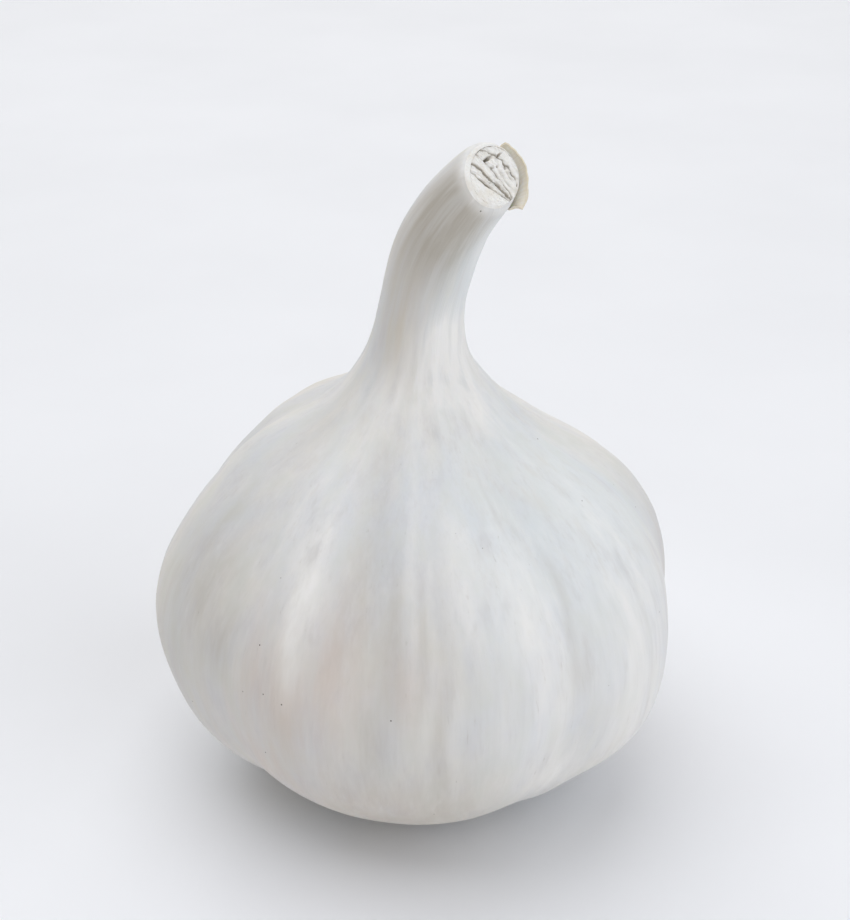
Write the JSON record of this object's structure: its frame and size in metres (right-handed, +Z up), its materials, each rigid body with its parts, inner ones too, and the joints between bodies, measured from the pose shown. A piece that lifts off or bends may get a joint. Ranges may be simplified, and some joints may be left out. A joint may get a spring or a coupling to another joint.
{
  "type": "garlic bulb",
  "caption": "Whole white garlic bulb in its papery skin, standing on its root plate, with a bent neck cut across to show the sheaths pressed inside it.",
  "frame": {"origin": "the middle of the flat on the root plate that the bulb rests on", "axes": "+Z up along the bulb's own axis; -Y is its front, towards which the neck leans; +X is its right, the side the neck bends to"},
  "size_m": [0.0603, 0.0607, 0.0802],
  "materials": {
    "papery_skin": "satin, finely streaked along the cloves",
    "dry_sheath": "matte",
    "cut_sheath": "matte, fibrous",
    "root_plate": "matte, rough"
  },
  "bodies": {
    "root": {"bulb": "papery_skin", "loose_sheath": "dry_sheath", "front_sheath": "cut_sheath", "second_sheath": "cut_sheath", "third_sheath": "cut_sheath", "neck_core": "cut_sheath", "back_sheath": "cut_sheath", "root_plate": "root_plate"}
  },
  "joints": []
}
